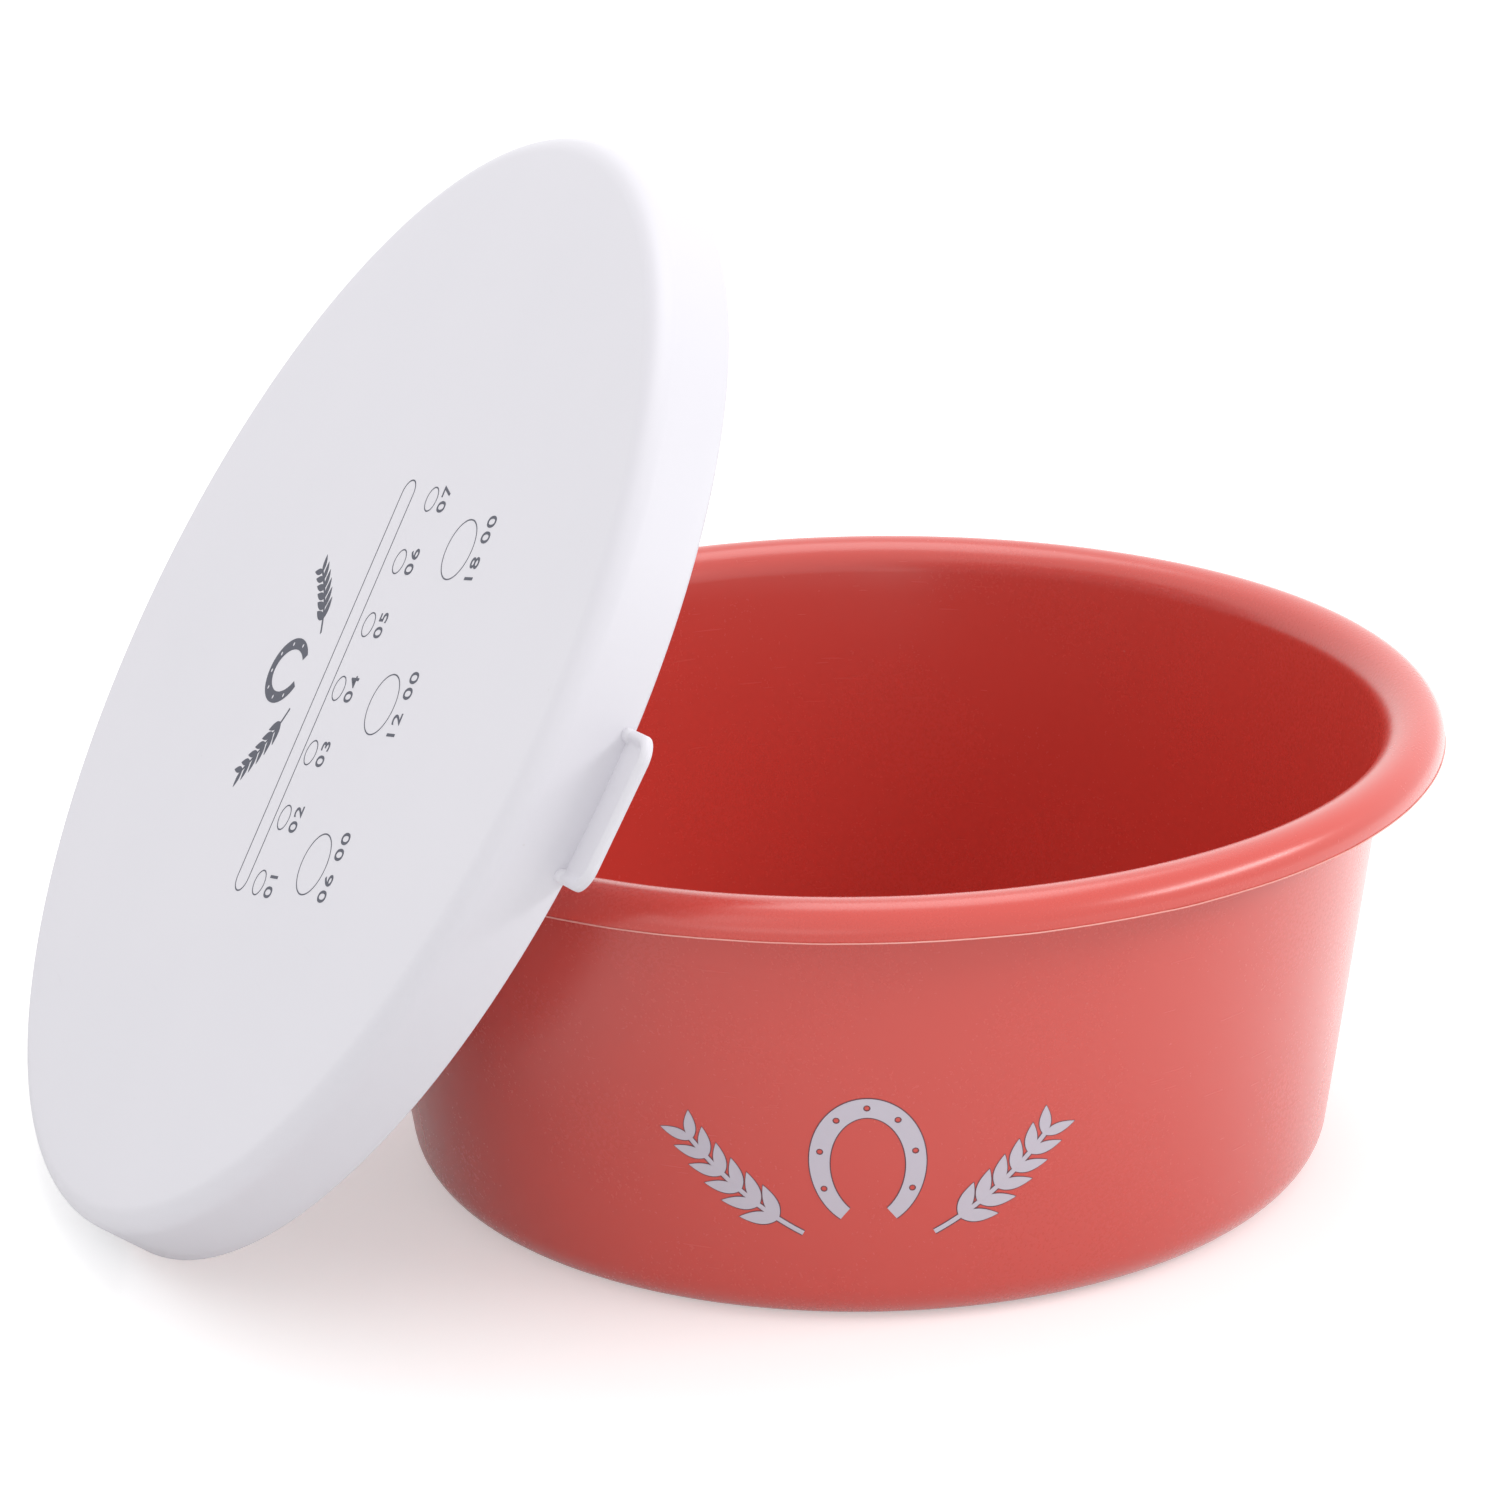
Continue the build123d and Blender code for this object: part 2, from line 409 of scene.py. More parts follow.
def makeTurnedTree():
    # spins a row of section points round the Z axis and closes the seam
    tree, start, end = newMaker("turnSection", [
        ("Section", "Geometry", None), ("Segments", "Int", 240), ("Section Points", "Int", 40),
    ])
    given = start.outputs
    grid = addNode(tree, "GeometryNodeMeshGrid", {
        "Size X": 1.0, "Size Y": 1.0, "Vertices X": addMath(tree, "ADD", given["Segments"], 1),
        "Vertices Y": given["Section Points"],
    })
    here = addNode(tree, "GeometryNodeInputPosition").outputs[0]
    split = addNode(tree, "ShaderNodeSeparateXYZ", {0: here}).outputs
    last = addMath(tree, "SUBTRACT", given["Section Points"], 1)
    row = addMath(tree, "ROUND", addMath(tree, "MULTIPLY", addMath(tree, "ADD", split["Y"], 0.5), last))
    angle = addMath(tree, "MULTIPLY", addMath(tree, "ADD", split["X"], 0.5), 2 * pi)
    sample = addNode(tree, "GeometryNodeSampleIndex", {
        "Geometry": given["Section"], "Value": here, "Index": row,
    }, data_type="FLOAT_VECTOR", domain="POINT")
    turn = addNode(tree, "ShaderNodeVectorRotate", {
        "Vector": sample.outputs["Value"], "Angle": angle,
    }, rotation_type="Z_AXIS")
    move = addNode(tree, "GeometryNodeSetPosition", {
        "Geometry": grid.outputs["Mesh"], "Position": turn.outputs[0],
    })
    merge = addNode(tree, "GeometryNodeMergeByDistance", {
        "Geometry": move.outputs["Geometry"], "Distance": seamGap,
    })
    return endMaker(tree, start, end, merge.outputs["Geometry"])


turnSection = makeTurnedTree()


def turnedPiece(name, section, segments, finish):
    # section: closed loop of (r, z) in mm that starts and ends on the axis
    mesh = bpy.data.meshes.new(name)
    mesh.from_pydata([(r * mm, 0, z * mm) for r, z in section], [], [])
    piece = addObject(name, mesh)
    bakeNodes(piece, turnSection, {
        "Segments": segments, "Section Points": len(section), "Finish": materials[finish],
    })
    cleanMesh(piece.data, sharp=sharpEdge)
    return piece


# The bowl

bowlSizes = {            # mm and degrees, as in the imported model
    "rimRadius": 160.0, "height": 129.5, "wall": 2.0, "draft": 8.2, "rollRadius": 7.7, "innerRound": 9.6,
    "lipDrop": 9.4, "floor": 2.4, "footGroove": 1.2, "footWidth": 9.0, "grooveWidth": 5.0, "grooveSlope": 1.5,
    "baseCorner": 13.0, "innerCorner": 14.0, "segments": 300,
    "floorSteps": 12, "cornerSteps": 12, "rollSteps": 14, "lipSteps": 10, "hollowSteps": 8, "sideSteps": 16,
}


def bowlSection():
    s = bowlSizes
    dc, ds = slopeOf(s["draft"])
    rollX, rollZ = s["rimRadius"] - s["rollRadius"], s["height"] - s["rollRadius"]
    innerZ = s["height"] - s["innerRound"]
    lipZ = s["height"] - s["lipDrop"]
    floorZ = s["footGroove"] + s["floor"]
    hollow = s["innerRound"] - s["wall"]
    topX, topZ = rollX - hollow * dc, innerZ + hollow * ds
    cornerX = topX + ((s["baseCorner"] - topZ) * ds - s["baseCorner"]) / dc
    insideX, insideZ = topX - s["wall"] * dc, topZ + s["wall"] * ds
    filletZ = floorZ + s["innerCorner"]
    filletX = insideX + ((filletZ - insideZ) * ds - s["innerCorner"]) / dc
    ringX = cornerX - s["footWidth"]
    turn = 90 - s["draft"]
    half, flat, side = s["wall"] / 2, s["floorSteps"], s["sideSteps"]
    lipX = s["rimRadius"] - half
    floorLine = [(0, floorZ)] + linePoints((0, floorZ), (filletX, floorZ), flat)
    inside = arcPoints((filletX, filletZ), s["innerCorner"], 270, turn, s["cornerSteps"])
    rimInside = arcPoints((rollX, innerZ), s["innerRound"], 180 - s["draft"], -turn, s["rollSteps"])
    rimOutside = arcPoints((rollX, rollZ), s["rollRadius"], 90, -90, s["rollSteps"])
    lip = arcPoints((lipX, lipZ + half), half, 0, -180, s["lipSteps"])
    under = arcPoints((rollX, rollZ), s["rollRadius"] - s["wall"], 0, 90, s["hollowSteps"])
    underInner = arcPoints((rollX, innerZ), hollow, 90, turn, s["hollowSteps"])
    base = arcPoints((cornerX, s["baseCorner"]), s["baseCorner"], -s["draft"], -turn, s["cornerSteps"])
    grooveX = ringX - s["grooveWidth"]
    foot = [
        (ringX, 0), (ringX - s["grooveSlope"], s["footGroove"]),
        (grooveX + s["grooveSlope"], s["footGroove"]), (grooveX, 0),
    ]
    foot += linePoints((grooveX, 0), (0, 0), flat) + [(0, 0)]
    loop = floorLine + inside + linePoints(inside[-1], rimInside[0], side) + rimInside + rimOutside[1:] + lip
    return loop + under + underInner[1:] + linePoints(underInner[-1], base[0], side) + base + foot


def wallRadius(z):
    # outside of the bowl's wall at this height
    s = bowlSizes
    dc, ds = slopeOf(s["draft"])
    hollow = s["innerRound"] - s["wall"]
    topX = s["rimRadius"] - s["rollRadius"] - hollow * dc
    return topX - (s["height"] - s["innerRound"] + hollow * ds - z) * ds / dc


bowlShell = turnedPiece("bowlShell", bowlSection(), bowlSizes["segments"], "coralPlastic")
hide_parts("bowl")
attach(bowlShell, "bowl")
print("bowl turned")


# The lid

lidSizes = {
    "fit": 0.5, "plate": 2.2, "skirt": 1.7, "draft": 3.5, "depth": 22.0, "corner": 6.5, "innerCorner": 4.8,
    "beadBite": 0.5, "beadRadius": 1.2, "beadGap": 0.6, "beadCount": 8, "beadSweep": 16.0, "segments": 300,
    "lean": 58.0, "leanGap": 0.3, "groundGap": 0.1, "shift": 25.0, "tabTurn": -81.0,
    "plateSteps": 16, "cornerSteps": 12, "lipSteps": 8, "innerSteps": 10, "skirtSteps": 5,
}


def lipRadius():
    s, b = lidSizes, bowlSizes
    dc, ds = slopeOf(s["draft"])
    below = s["depth"] - s["plate"] - b["rollRadius"]
    return b["rimRadius"] + s["fit"] + (s["skirt"] + below * ds) / dc


def fromSkirt(left, inward):
    # radius of the line this far inside the skirt's outer face, at a height over the lip
    dc, ds = slopeOf(lidSizes["draft"])
    return lipRadius() - (inward + left * ds) / dc


def lidSection():
    s = lidSizes
    outerX = fromSkirt(s["depth"] - s["corner"], s["corner"])
    innerZ = s["plate"] + s["innerCorner"]
    innerX = fromSkirt(s["depth"] - innerZ, s["skirt"] + s["innerCorner"])
    half = s["skirt"] / 2
    endX, endZ = fromSkirt(half, half), half - s["depth"]
    turn = 90 - s["draft"]
    top = [(0, 0)] + linePoints((0, 0), (outerX, 0), s["plateSteps"])
    corner = arcPoints((outerX, -s["corner"]), s["corner"], 90, -turn, s["cornerSteps"])
    lip = arcPoints((endX, endZ), half, s["draft"], -180, s["lipSteps"])
    inner = arcPoints((innerX, -innerZ), s["innerCorner"], s["draft"], turn, s["innerSteps"])
    under = linePoints((innerX, -s["plate"]), (0, -s["plate"]), s["plateSteps"]) + [(0, -s["plate"])]
    outside = linePoints(corner[-1], lip[0], s["skirtSteps"])
    inside = linePoints(lip[-1], inner[0], s["skirtSteps"])
    return top + corner + outside + lip + inside + inner + under


def lidPlace():
    # lip on the ground, plate against the rim
    s, b = lidSizes, bowlSizes
    lc, ls = slopeOf(s["lean"])
    half = s["skirt"] / 2
    z = s["groundGap"] + half + (s["depth"] - half) * lc + fromSkirt(half, half) * ls
    rollX, rollZ = b["rimRadius"] - b["rollRadius"], b["height"] - b["rollRadius"]
    reach = rollX * ls + rollZ * lc + b["rollRadius"] + s["leanGap"] + s["plate"]
    x = (z * lc - reach) / ls
    return Matrix.Translation(Vector((x, s["shift"], z)) * mm) @ Matrix.Rotation(radians(-s["lean"]), 4, "Y")


onLid = lidPlace()
lidShell = turnedPiece("lidShell", lidSection(), lidSizes["segments"], "chalkPlastic")
lidShell.data.transform(onLid)
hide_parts("lid")
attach(lidShell, "lid")
print("lid turned")


def bentCapsule(name, sizes):
    # one snap bead: a bar with round ends, bent round the lid's axis and centred on +X
    mesh = bpy.data.meshes.new(name)
    work = bmesh.new()
    ring, steps, caps = 10, 14, 4
    radius = bowlSizes["rimRadius"] - sizes["beadBite"] + sizes["beadRadius"]
    height = -(sizes["plate"] + bowlSizes["lipDrop"] + sizes["beadGap"] + sizes["beadRadius"])
    half = radians(sizes["beadSweep"]) / 2
    stations = [(-half, -sin(pi / 2 * k / caps), cos(pi / 2 * k / caps)) for k in range(caps - 1, 0, -1)]
    stations += [(-half + 2 * half * k / steps, 0.0, 1.0) for k in range(steps + 1)]
    stations += [(half, sin(pi / 2 * k / caps), cos(pi / 2 * k / caps)) for k in range(1, caps)]

    def spot(angle, along, out, lift):
        x, y = radius + out * sizes["beadRadius"], along * sizes["beadRadius"]
        return work.verts.new((
            (x * cos(angle) - y * sin(angle)) * mm, (x * sin(angle) + y * cos(angle)) * mm,
            (height + lift * sizes["beadRadius"]) * mm,
        ))

    turns = [2 * pi * k / ring for k in range(ring)]
    rows = [
        [spot(angle, along, size * cos(turn), size * sin(turn)) for turn in turns]
        for angle, along, size in stations
    ]
    for first, second in zip(rows, rows[1:]):
        for k in range(ring):
            work.faces.new((first[k], first[(k + 1) % ring], second[(k + 1) % ring], second[k]))
    for row, angle, along in ((rows[0], -half, -1.0), (rows[-1], half, 1.0)):
        tip = spot(angle, along, 0, 0)
        for k in range(ring):
            work.faces.new((row[k], row[(k + 1) % ring], tip))
    bmesh.ops.recalc_face_normals(work, faces=work.faces)
    work.to_mesh(mesh)
    work.free()
    return mesh


def makeRoundRepeat():
    # copies of a shape round the Z axis, evenly spaced
    tree, start, end = newMaker("repeatRound", [
        ("Shape", "Geometry", None), ("Count", "Int", 8), ("First Angle", "Float", 0.0),
    ])
    given = start.outputs
    number = addNode(tree, "GeometryNodeInputIndex").outputs[0]
    step = addMath(tree, "DIVIDE", 2 * pi, given["Count"])
    angle = addMath(tree, "ADD", addMath(tree, "MULTIPLY", number, step), given["First Angle"])
    turn = addNode(tree, "ShaderNodeCombineXYZ", {"Z": angle})
    points = addNode(tree, "GeometryNodePoints", {"Count": given["Count"]})
    place = addNode(tree, "GeometryNodeInstanceOnPoints", {
        "Points": points.outputs[0], "Instance": given["Shape"], "Rotation": turn.outputs[0],
    })
    return endMaker(tree, start, end, place.outputs[0])


snapBeads = addObject("snapBeads", bentCapsule("snapBeads", lidSizes))
firstBead = radians(180 / lidSizes["beadCount"] + lidSizes["tabTurn"])
bakeNodes(snapBeads, makeRoundRepeat(), {
    "Count": lidSizes["beadCount"], "First Angle": firstBead, "Finish": materials["chalkPlastic"],
})
cleanMesh(snapBeads.data)
snapBeads.data.transform(onLid)
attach(snapBeads, "lid")


# The pull tab

tabSizes = {             # mm, and sharp in degrees; across and along count mesh lines that crowd outwards
    "width": 42.0, "reach": 14.3, "plate": 1.3, "lift": 0.3, "corner": 7.0, "rib": 1.4, "ribFoot": 2.1,
    "ribSink": 0.3, "ribInset": 1.6, "bulb": 2.3, "edgeRound": 0.5, "across": 130, "along": 52,
    "sideCrowd": 1.25, "tipCrowd": 1.35, "deep": 60.0, "sharp": 50,
}


def roundBox(x, y, halfX, halfY, corner):
    # signed distance from the outline of a rectangle with round corners
    dx, dy = abs(x) - halfX + corner, abs(y) - halfY + corner
    return hypot(max(dx, 0), max(dy, 0)) + min(max(dx, dy), 0) - corner


def tabHeight(x, y, sizes, lip):
    # top face of the tab over its underside: flat, with a soft rib that follows the edge
    side = sizes["width"] / 2 - sizes["ribInset"]
    front = lip + sizes["reach"] - sizes["ribInset"]
    deep = sizes["deep"]    # half the length of the box whose outer end is the outline
    away = abs(roundBox(x - front + deep, y, deep, side, sizes["corner"] - sizes["ribInset"]))
    top = (sizes["rib"] - sizes["ribSink"]) * max(0.0, 1 - (away / sizes["ribFoot"]) ** 2) ** 2
    bulbX = sqrt(lip ** 2 - side ** 2)
    for bulbY in (-side, side):
        gap = hypot(x - bulbX, y - bulbY)
        if gap < sizes["bulb"]:
            top = max(top, sqrt(sizes["bulb"] ** 2 - gap ** 2) - sizes["ribSink"])
    inset = -roundBox(x - lip - sizes["reach"] + deep, y, deep, sizes["width"] / 2, sizes["corner"])
    rounding = sizes["edgeRound"]
    drop = rounding - sqrt(max(0.0, rounding ** 2 - max(0.0, rounding - inset) ** 2))
    return sizes["plate"] + top - drop


def crowded(count, power):
    # numbers from -1 to 1 that crowd towards both ends
    steps = [2 * i / (count - 1) - 1 for i in range(count)]
    return [(1 if t >= 0 else -1) * (1 - (1 - abs(t)) ** power) for t in steps]


def makePullTab(sizes):
    lip = lipRadius()
    mesh = bpy.data.meshes.new("pullTab")
    work = bmesh.new()
    half, corner = sizes["width"] / 2, sizes["corner"]
    base = sizes["lift"] - lidSizes["depth"]
    top, low = [], []
    for t in crowded(sizes["across"], sizes["sideCrowd"]):
        y = t * half
        near = sqrt((lip - lidSizes["skirt"] / 2) ** 2 - y ** 2)
        bend = max(0.0, abs(y) - half + corner)
        far = lip + sizes["reach"] - corner + sqrt(max(0.0, corner ** 2 - bend ** 2))
        topRow, lowRow = [], []
        for k in range(sizes["along"]):
            share = 1 - (1 - k / (sizes["along"] - 1)) ** sizes["tipCrowd"]
            x = near + (far - near) * share
            topRow.append(work.verts.new((x * mm, y * mm, (base + tabHeight(x, y, sizes, lip)) * mm)))
            lowRow.append(work.verts.new((x * mm, y * mm, base * mm)))
        top.append(topRow)
        low.append(lowRow)
    for i in range(sizes["across"] - 1):
        for k in range(sizes["along"] - 1):
            work.faces.new((top[i][k], top[i][k + 1], top[i + 1][k + 1], top[i + 1][k]))
            work.faces.new((low[i][k], low[i + 1][k], low[i + 1][k + 1], low[i][k + 1]))
        for k in (0, -1):
            work.faces.new((top[i][k], top[i + 1][k], low[i + 1][k], low[i][k]))
    for k in range(sizes["along"] - 1):
        for i in (0, -1):
            work.faces.new((top[i][k], low[i][k], low[i][k + 1], top[i][k + 1]))
    bmesh.ops.recalc_face_normals(work, faces=work.faces)
    work.to_mesh(mesh)
    work.free()
    mesh.materials.append(materials["chalkPlastic"])
    piece = addObject("pullTab", mesh)
    cleanMesh(mesh, sharp=sizes["sharp"])
    mesh.transform(onLid @ Matrix.Rotation(radians(lidSizes["tabTurn"]), 4, "Z"))
    return piece


pullTab = makePullTab(tabSizes)
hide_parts("lid")
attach(pullTab, "lid")
print("tab and snap beads made")


# The line that the mould leaves under the bowl's roll, coloured pale as a painted highlight along the lip's
# edge

seamSizes = {             # mm; the sway is noise, at this scale in turns per metre
    "radius": 160.05, "drop": 8.9, "thick": 0.42, "points": 420, "unevenness": 0.5, "swayScale": 55.0,
    "swayDetail": 3.0, "seed": 7.0,
}


def makeSeamTree():
    # an uneven thin ring: a circle pushed about by noise and given thickness
    tree, start, end = newMaker("seamLine", [
        ("Radius", "Float", 0.16), ("Height", "Float", 0.12), ("Thickness", "Float", 0.0003),
        ("Unevenness", "Float", 0.0001), ("Points", "Int", 400), ("Seed", "Float", 1.0),
    ])
    given = start.outputs
    here = addNode(tree, "GeometryNodeInputPosition")
    noise = addNode(tree, "ShaderNodeTexNoise", {
        "Vector": here.outputs[0], "W": given["Seed"], "Scale": seamSizes["swayScale"],
        "Detail": seamSizes["swayDetail"],
    }, noise_dimensions="4D")
    sway = addMath(tree, "SUBTRACT", noise.outputs["Fac"], 0.5)
    sway = addMath(tree, "MULTIPLY", sway, given["Unevenness"])
    lift = addNode(tree, "ShaderNodeCombineXYZ", {"Z": addMath(tree, "ADD", given["Height"], sway)})
    ring = addNode(tree, "GeometryNodeCurvePrimitiveCircle", {
        "Resolution": given["Points"], "Radius": given["Radius"],
    })
    move = addNode(tree, "GeometryNodeSetPosition", {
        "Geometry": ring.outputs["Curve"], "Offset": lift.outputs[0],
    })
    return endMaker(tree, start, end, sweepLine(tree, move.outputs["Geometry"], given["Thickness"]))


seamLine = addObject("seamLine", bpy.data.meshes.new("seamLine"))
# the seam ridge takes the pale finish, a painted highlight
bakeNodes(seamLine, makeSeamTree(), {
    "Radius": seamSizes["radius"] * mm, "Height": (bowlSizes["height"] - seamSizes["drop"]) * mm,
    "Thickness": seamSizes["thick"] * mm, "Unevenness": seamSizes["unevenness"] * mm,
    "Points": seamSizes["points"], "Seed": seamSizes["seed"], "Finish": materials["seamWithPaintedHighlight"],
})
cleanMesh(seamLine.data)
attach(seamLine, "bowl")


# Prints: a row of seven rings and three large ones with plain numbers, a slot outline, and a generic motif

printSizes = {            # mm and degrees on the lid's plate: x runs up the slope, y along the bowl's +Y
    "inkHeight": 0.10, "line": 0.42, "turn": 16.9, "stroke": 0.05, "letterSpace": 1.18, "letterSteps": 6,
    "rowSteps": 64, "ringSteps": 64, "pathSteps": 400, "slotSteps": 12, "slotRound": 0.49,
    "slotCentre": (-1.5, -9.4), "slotLength": 121.0, "slotWidth": 8.2, "slotLine": 0.46, "slotTurn": 15.4,
    "rowStart": (-53.0, -37.0), "rowMiddle": (-1.4, -14.8), "rowEnd": (56.8, -12.4),
    "rowCount": 7, "rowRing": 3.5,
    "bigRings": ((-36.6, -65.2), (7.4, -52.9), (52.6, -47.8)), "bigRing": 8.6,
    "rowNumbers": ("01", "02", "03", "04", "05", "06", "07"), "rowText": 7.4, "rowTextAway": 9.0,
    "bigNumbers": ("06 00", "12 00", "18 00"), "bigText": 7.6, "bigTextAway": 14.4,
}

rawInk = 0.05             # mm to each side, the thickness of a print before it is settled
inkSunk = 0.25            # share of a print's height that lies below the surface it is on


def flatten(mesh, height):
    # squeezes a piece of ink to its height and sets it on its plate
    low = min(vertex.co.z for vertex in mesh.vertices)
    high = max(vertex.co.z for vertex in mesh.vertices)
    for vertex in mesh.vertices:
        vertex.co.z = ((vertex.co.z - low) / (high - low) - inkSunk) * height * mm


def bentLine(tree, given, name, steps):
    # the bent line through a start, towards a middle and to an end
    return addNode(tree, "GeometryNodeCurveQuadraticBezier", {
        "Resolution": steps, "Start": given[name + " Start"], "Middle": given[name + " Middle"],
        "End": given[name + " End"],
    }).outputs["Curve"]


def makeRingRow():
    # rings of a thin line, evenly spaced along a bent row
    tree, start, end = newMaker("ringRow", [
        ("Row Start", "Vector", None), ("Row Middle", "Vector", None), ("Row End", "Vector", None),
        ("Count", "Int", 7), ("Ring Radius", "Float", 0.003), ("Line Width", "Float", 0.0003),
    ])
    given = start.outputs
    points = addNode(tree, "GeometryNodeCurveToPoints", {
        "Curve": bentLine(tree, given, "Row", printSizes["rowSteps"]), "Count": given["Count"],
    }, mode="COUNT")
    ring = addNode(tree, "GeometryNodeCurvePrimitiveCircle", {
        "Resolution": printSizes["ringSteps"], "Radius": given["Ring Radius"],
    })
    line = sweepLine(tree, ring.outputs["Curve"], given["Line Width"])
    place = addNode(tree, "GeometryNodeInstanceOnPoints", {
        "Points": points.outputs["Points"], "Instance": line,
    })
    return endMaker(tree, start, end, place.outputs[0])


def makeSlotTree():
    # outline of a long slot in a thin line; its ends are rounded by just under half its width
    tree, start, end = newMaker("slotOutline", [
        ("Length", "Float", 0.12), ("Width", "Float", 0.006), ("Line Width", "Float", 0.0003),
    ])
    given = start.outputs
    box = addNode(tree, "GeometryNodeCurvePrimitiveQuadrilateral", {
        "Width": given["Length"], "Height": given["Width"],
    })
    radius = addMath(tree, "MULTIPLY", given["Width"], printSizes["slotRound"])
    rounder = addNode(tree, "GeometryNodeFilletCurve", {
        "Curve": box.outputs["Curve"], "Radius": radius, "Count": printSizes["slotSteps"],
    }, mode="POLY")
    return endMaker(tree, start, end, sweepLine(tree, rounder.outputs["Curve"], given["Line Width"]))


ringRow = makeRingRow()


def settleInk(piece, place):
    # turns and moves flat ink to its place on the lid
    flatten(piece.data, printSizes["inkHeight"])
    piece.data.transform(onLid @ place)
    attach(piece, "lid")


def onPlate(spot, turn):
    return Matrix.Translation(Vector((spot[0], spot[1], 0)) * mm) @ Matrix.Rotation(radians(turn), 4, "Z")


def makeRings(name, spots, count, radius):
    piece = addObject(name, bpy.data.meshes.new(name))
    first, middle, last = (Vector((x, y, 0)) * mm for x, y in spots)
    bakeNodes(piece, ringRow, {
        "Row Start": first, "Row Middle": middle, "Row End": last, "Count": count, "Ring Radius": radius * mm,
        "Line Width": printSizes["line"] * mm, "Finish": materials["slateInk"],
    })
    cleanMesh(piece.data)
    settleInk(piece, Matrix.Identity(4))


def inkPiece(name, curve, finish):
    # makes a filled flat curve a thin closed plate of ink
    curve.extrude = rawInk * mm
    shape = addObject(name, curve)
    mesh = bpy.data.meshes.new_from_object(shape.evaluated_get(bpy.context.evaluated_depsgraph_get()))
    bpy.data.objects.remove(shape)
    bpy.data.curves.remove(curve)
    mesh.materials.clear()
    mesh.materials.append(materials[finish])
    cleanMesh(mesh, smooth=False, merge=inkWeldGap)
    return addObject(name, mesh)


def makeNumber(name, text, size):
    # the number is centred on its own middle
    letters = bpy.data.curves.new(name, "FONT")
    letters.body = text
    letters.size = size * mm
    letters.align_x = "CENTER"
    letters.align_y = "CENTER"
    letters.space_character = printSizes["letterSpace"]
    letters.offset = printSizes["stroke"] * mm
    letters.resolution_u = printSizes["letterSteps"]
    return inkPiece(name, letters, "slateInk")


def quadraticSpot(spots, share):
    (ax, ay), (bx, by), (cx, cy) = spots
    keep = 1 - share
    return (
        keep * keep * ax + 2 * keep * share * bx + share * share * cx,
        keep * keep * ay + 2 * keep * share * by + share * share * cy,
    )


def rowSpots(spots, count):
    # evenly spaced by length along the bent row, as the ring tree spaces them
    steps = printSizes["pathSteps"]
    fine = [quadraticSpot(spots, i / steps) for i in range(steps + 1)]
    runs = [0.0]
    for a, b in zip(fine, fine[1:]):
        runs.append(runs[-1] + hypot(b[0] - a[0], b[1] - a[1]))
    chosen = []
    for k in range(count):
        goal = runs[-1] * k / (count - 1)
        chosen.append(min(zip(runs, fine), key=lambda pair: abs(pair[0] - goal))[1])
    return chosen


def below(spot, away):
    turn = radians(printSizes["turn"])
    return (spot[0] + away * sin(turn), spot[1] - away * cos(turn))


rowPath = (printSizes["rowStart"], printSizes["rowMiddle"], printSizes["rowEnd"])
makeRings("dayRings", rowPath, printSizes["rowCount"], printSizes["rowRing"])
for number, spot in enumerate(printSizes["bigRings"]):
    makeRings(f"timeRing{number + 1}", (spot, spot, spot), 1, printSizes["bigRing"])
for label, spot in zip(printSizes["rowNumbers"], rowSpots(rowPath, printSizes["rowCount"])):
    digits = makeNumber(f"dayNumber{label}", label, printSizes["rowText"])
    settleInk(digits, onPlate(below(spot, printSizes["rowTextAway"]), printSizes["turn"]))
for number, (label, spot) in enumerate(zip(printSizes["bigNumbers"], printSizes["bigRings"])):
    digits = makeNumber(f"timeNumber{number + 1}", label, printSizes["bigText"])
    settleInk(digits, onPlate(below(spot, printSizes["bigTextAway"]), printSizes["turn"]))

slotLine = addObject("slotLine", bpy.data.meshes.new("slotLine"))
bakeNodes(slotLine, makeSlotTree(), {
    "Length": printSizes["slotLength"] * mm, "Width": printSizes["slotWidth"] * mm,
    "Line Width": printSizes["slotLine"] * mm, "Finish": materials["slateInk"],
})
cleanMesh(slotLine.data)
settleInk(slotLine, onPlate(printSizes["slotCentre"], printSizes["slotTurn"]))
print("rings, numbers and slot printed")


# The generic motif: a horseshoe between two ears of oats, drawn flat about its own middle

motifSizes = {           # mm and degrees; heel values are shares at the open ends, lead and spare are steps
    "shoeWidth": 31.0, "shoeHeight": 40.0, "shoeBand": 5.6, "shoeGap": 62.0, "nails": 7, "nailSize": 0.95,
    "heelNarrow": 0.28, "heelInward": 0.06, "nailLead": 0.9, "nailSpare": 0.8, "nailTurn": 30,
    "shoeSteps": 72,
    "earStart": (17.5, -21.0), "earMiddle": (34.0, -12.0), "earEnd": (46.5, 5.0), "pairs": 6, "bareStem": 0.2,
    "grainLength": 10.6, "grainWidth": 3.8, "grainTilt": 36.0, "grainAway": 5.2, "stem": 1.4, "outline": 0.30,
    "grainHeel": 0.82, "grainFull": 0.9, "grainSteps": 16, "grainShrink": 0.035, "stemFlat": 0.09,
    "stemSteps": 40,
}


def flatShape(name, loops, finish):
    # a filled outline; a loop inside another is a hole
    curve = bpy.data.curves.new(name, "CURVE")
    curve.dimensions = "2D"
    curve.fill_mode = "BOTH"
    for loop in loops:
        line = curve.splines.new("POLY")
        line.points.add(len(loop) - 1)
        for point, (x, y) in zip(line.points, loop):
            point.co = (x * mm, y * mm, 0, 1)
        line.use_cyclic_u = True
    return inkPiece(name, curve, finish)


